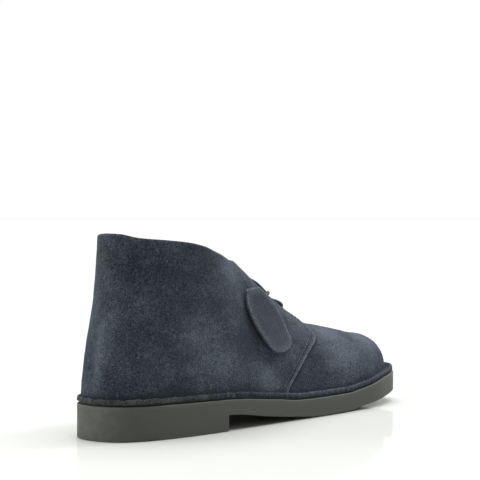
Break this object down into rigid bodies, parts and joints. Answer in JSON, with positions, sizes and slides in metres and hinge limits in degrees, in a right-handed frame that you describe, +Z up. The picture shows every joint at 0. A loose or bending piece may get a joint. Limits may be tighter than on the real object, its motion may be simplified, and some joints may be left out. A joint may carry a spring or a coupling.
{
  "type": "chukka boot",
  "caption": "Ankle-high unlined suede chukka boot for the right foot, with a turned-out stitched edge, a flat rubber sole, laces over an open throat and a blank suede fob.",
  "frame": {"origin": "middle of the boot's footprint, on the floor it stands on", "axes": "+X from the heel to the toe, +Y towards the inner (medial) side of the right foot, +Z up"},
  "size_m": [0.298, 0.0978, 0.1266],
  "materials": {
    "rubber": "matt moulded rubber, dark grey green",
    "midsole": "matt black thin midsole",
    "insole": "smooth tan leather sock",
    "suede": "napped navy suede, mottled",
    "lace": "round waxed cotton lace, dark navy",
    "fob": "napped navy suede, pale worn edges"
  },
  "bodies": {
    "root": {"outsole": "rubber", "midsole": "midsole", "insole": "insole", "upper": "suede", "tongue": "suede", "lace_bar_lower": "lace", "lace_bar_top": "lace", "fob": "fob"}
  },
  "joints": []
}
